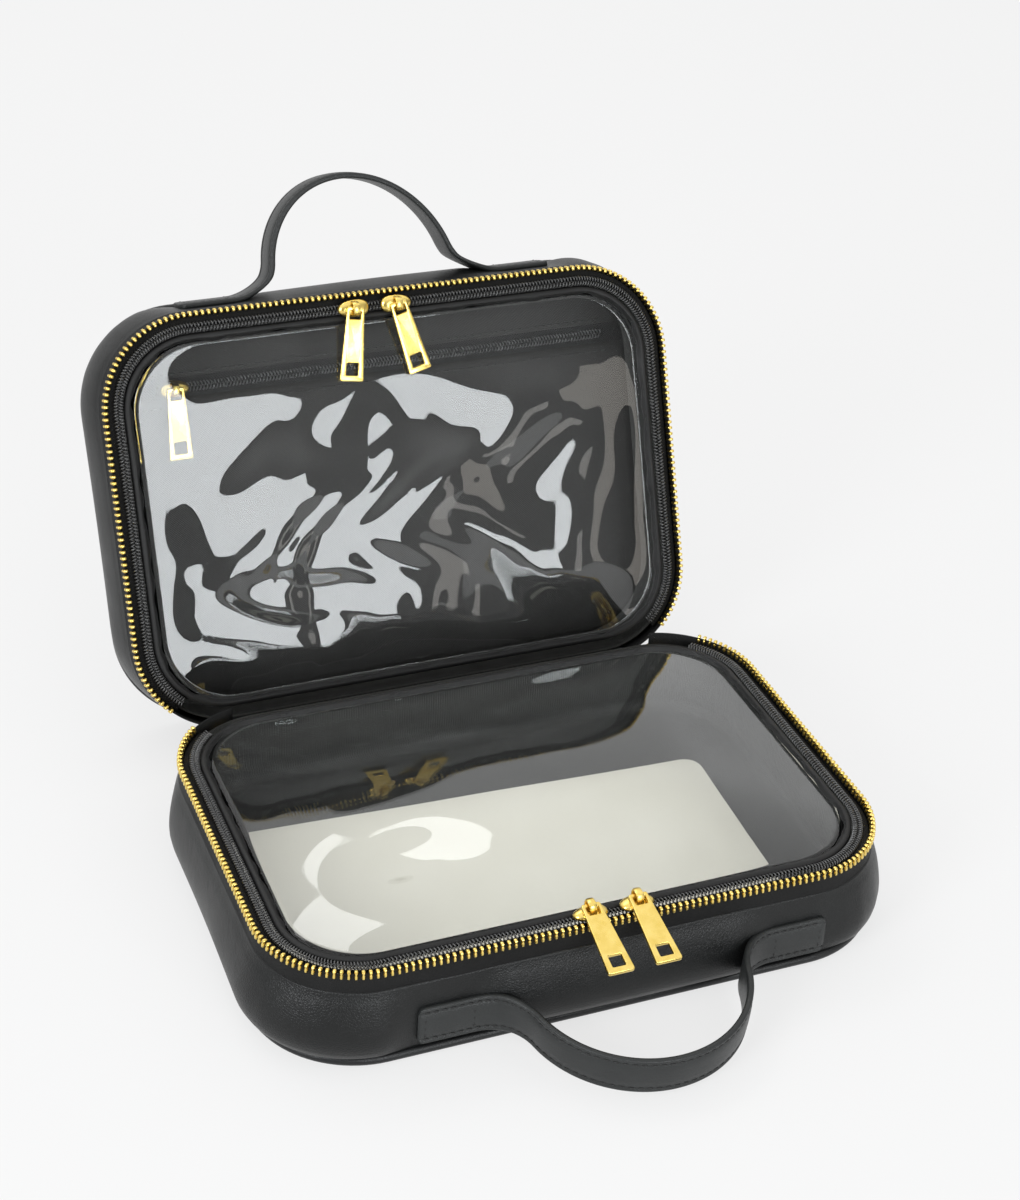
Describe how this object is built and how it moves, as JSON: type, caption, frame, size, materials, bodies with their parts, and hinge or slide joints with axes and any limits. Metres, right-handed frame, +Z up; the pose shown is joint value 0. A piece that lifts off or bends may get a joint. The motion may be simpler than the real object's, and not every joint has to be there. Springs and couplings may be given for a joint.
{
  "type": "makeup travel case",
  "caption": "Soft clamshell makeup case in black imitation leather: zipped halves on a spine, clear zipped windows, strap handles and gold zip pulls.",
  "frame": {"origin": "middle of the base half's underside, on the table", "axes": "+X to the right seen from the front, +Y to the spine, +Z up"},
  "size_m": [0.243, 0.3433, 0.2093],
  "materials": {
    "leather": "fine-grained black imitation leather, slight sheen",
    "piping": "folded black edge binding",
    "strap_leather": "black strap with stitched, painted edges",
    "binding": "stitched black binding",
    "lining": "dark grey woven lining",
    "zip_tape": "black woven zip tape",
    "coil": "black nylon coil",
    "gold": "satin gold plating",
    "clear_film": "clear flexible film",
    "card": "warm white card"
  },
  "bodies": {
    "base": {"base_outer_panel": "leather", "base_edge_piping": "piping", "base_gusset": "leather", "base_panel_lining": "lining", "base_wall_lining": "lining", "base_back_facing": "leather", "base_main_tape": "zip_tape", "base_main_teeth": "gold", "base_coil_tape": "zip_tape", "base_coil_outer": "coil", "base_handle_tabs": "strap_leather", "insert_card": "card", "main_slider_left": "gold", "main_slider_right": "gold"},
    "lid": {"lid_outer_panel": "leather", "lid_edge_piping": "piping", "lid_gusset": "leather", "lid_panel_lining": "lining", "lid_wall_lining": "lining", "lid_back_facing": "leather", "lid_main_tape": "zip_tape", "lid_main_teeth": "gold", "lid_coil_tape": "zip_tape", "lid_coil_outer": "coil", "lid_handle_tabs": "strap_leather", "spine_strip": "leather", "pocket_top_strip": "lining", "pocket_panel": "lining", "pocket_zip_tape": "zip_tape", "pocket_coil": "coil"},
    "base_window": {"base_window_border": "binding", "base_window_film": "clear_film", "base_coil_inner": "coil"},
    "base_slider_left": {"base_slider_left": "gold"},
    "base_pull_left": {"base_pull_left": "gold"},
    "base_slider_right": {"base_slider_right": "gold"},
    "base_pull_right": {"base_pull_right": "gold"},
    "base_handle": {"base_handle_strap": "strap_leather"},
    "lid_window": {"lid_window_border": "binding", "lid_window_film": "clear_film", "lid_coil_inner": "coil"},
    "lid_slider_left": {"lid_slider_left": "gold"},
    "lid_pull_left": {"lid_pull_left": "gold"},
    "lid_slider_right": {"lid_slider_right": "gold"},
    "lid_pull_right": {"lid_pull_right": "gold"},
    "lid_handle": {"lid_handle_strap": "strap_leather"},
    "pocket_slider": {"pocket_slider": "gold"},
    "pocket_pull": {"pocket_pull": "gold"},
    "main_pull_left": {"main_pull_left": "gold"},
    "main_pull_right": {"main_pull_right": "gold"}
  },
  "joints": [
    {"name": "lid_hinge", "type": "hinge", "parent": "base", "child": "lid", "pos_m": [0, 0.084, 0.023], "axis": [-1, 0, 0], "range_deg": [-110.65, 0]},
    {"name": "base_window_hinge", "type": "hinge", "parent": "base", "child": "base_window", "pos_m": [0, 0.0779, 0.041], "axis": [-1, 0, 0], "range_deg": [0, 55]},
    {"name": "lid_window_hinge", "type": "hinge", "parent": "lid", "child": "lid_window", "pos_m": [0, 0.10483, 0.02118], "axis": [1, 0, 0], "range_deg": [0, 40]},
    {"name": "base_left_slide", "type": "slide", "parent": "base_window", "child": "base_slider_left", "axis": [-1, 0, 0], "range_m": [0, 0.07]},
    {"name": "base_left_pull_flip", "type": "hinge", "parent": "base_slider_left", "child": "base_pull_left", "pos_m": [-0.006, -0.0778, 0.0444], "axis": [-1, 0, 0], "range_deg": [0, 190]},
    {"name": "base_right_slide", "type": "slide", "parent": "base_window", "child": "base_slider_right", "axis": [1, 0, 0], "range_m": [0, 0.064]},
    {"name": "base_right_pull_flip", "type": "hinge", "parent": "base_slider_right", "child": "base_pull_right", "pos_m": [0.012, -0.0778, 0.0444], "axis": [-1, 0, 0], "range_deg": [0, 190]},
    {"name": "lid_left_slide", "type": "slide", "parent": "lid_window", "child": "lid_slider_left", "axis": [-1, 0, 0], "range_m": [0, 0.061]},
    {"name": "lid_left_pull_flip", "type": "hinge", "parent": "lid_slider_left", "child": "lid_pull_left", "pos_m": [-0.015, 0.15988, 0.16686], "axis": [-1, 0, 0], "range_deg": [0, 190]},
    {"name": "lid_right_slide", "type": "slide", "parent": "lid_window", "child": "lid_slider_right", "axis": [1, 0, 0], "range_m": [0, 0.073]},
    {"name": "lid_right_pull_flip", "type": "hinge", "parent": "lid_slider_right", "child": "lid_pull_right", "pos_m": [0.003, 0.15988, 0.16686], "axis": [-1, 0, 0], "range_deg": [0, 190]},
    {"name": "pocket_slide", "type": "slide", "parent": "lid", "child": "pocket_slider", "axis": [1, 0, 0], "range_m": [0, 0.18]},
    {"name": "pocket_pull_flip", "type": "hinge", "parent": "pocket_slider", "child": "pocket_pull", "pos_m": [-0.085, 0.17769, 0.13187], "axis": [-1, 0, 0], "range_deg": [0, 45]},
    {"name": "main_left_pull_flip", "type": "hinge", "parent": "base", "child": "main_pull_left", "pos_m": [-0.0966, 0.08612, 0.031], "axis": [0.9397, 0.342, 0], "range_deg": [0, 35]},
    {"name": "main_right_pull_flip", "type": "hinge", "parent": "base", "child": "main_pull_right", "pos_m": [0.0966, 0.08612, 0.031], "axis": [0.9397, -0.342, 0], "range_deg": [0, 35]},
    {"name": "base_handle_swing", "type": "hinge", "parent": "base", "child": "base_handle", "pos_m": [0.007, -0.084, 0.014], "axis": [-1, 0, 0], "range_deg": [0, 40]},
    {"name": "lid_handle_swing", "type": "hinge", "parent": "lid", "child": "lid_handle", "pos_m": [-0.002, 0.18669, 0.16274], "axis": [1, 0, 0], "range_deg": [-33, 33]}
  ]
}
